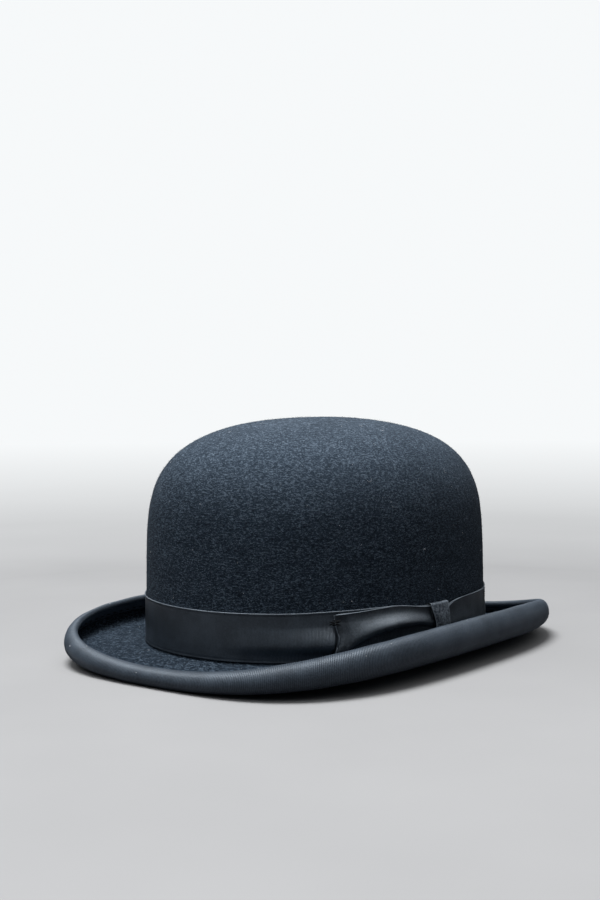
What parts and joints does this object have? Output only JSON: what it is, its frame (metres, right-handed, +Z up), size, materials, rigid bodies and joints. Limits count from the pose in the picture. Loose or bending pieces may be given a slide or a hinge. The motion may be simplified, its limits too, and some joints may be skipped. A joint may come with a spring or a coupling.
{
  "type": "bowler hat",
  "caption": "Stiff felt bowler hat with a round crown, curled bound brim, ribbon band with a flat bow, leather sweatband and satin lining.",
  "frame": {"origin": "middle of the hat's footprint, on the plane that the front and back of its brim rest on", "axes": "+Z up, -Y the way the wearer faces, +X the wearer's left, where the bow is"},
  "size_m": [0.219, 0.2875, 0.1335],
  "materials": {
    "felt": "stiffened wool felt, short nap, blue-black",
    "binding_ribbon": "ribbed ribbon folded over the brim's edge",
    "band_ribbon": "fine ribbed ribbon with a soft sheen",
    "dark_thread": "sewing thread",
    "sweatband_leather": "smooth roan leather",
    "reed": "springy reed",
    "tape": "oilcloth tape",
    "leather_thread": "waxed thread",
    "marker_ribbon": "narrow satin ribbon",
    "satin": "satin lining",
    "piping": "twisted cord in the lining's seam",
    "clear_film": "clear flexible film",
    "pale_thread": "sewing thread",
    "card": "blank card"
  },
  "bodies": {
    "root": {"felt_body": "felt", "brim_binding": "binding_ribbon", "brim_binding_lap": "binding_ribbon", "binding_thread": "dark_thread", "hat_band": "band_ribbon", "band_tack_thread": "dark_thread", "bow_back_ribbon": "band_ribbon", "bow_front_wing": "band_ribbon", "bow_rear_wing": "band_ribbon", "bow_gathers": "band_ribbon", "bow_knot": "band_ribbon", "bow_tack_thread": "dark_thread", "sweatband": "sweatband_leather", "sweatband_reed": "reed", "reed_tape": "tape", "sweatband_thread": "leather_thread", "sweatband_back_tape": "tape", "sweatband_back_thread": "leather_thread", "sweatband_bow": "marker_ribbon", "lining_side": "satin", "lining_tip": "satin", "lining_piping": "piping", "tip_shield": "clear_film", "tip_shield_thread": "pale_thread", "size_ticket": "card"}
  },
  "joints": []
}
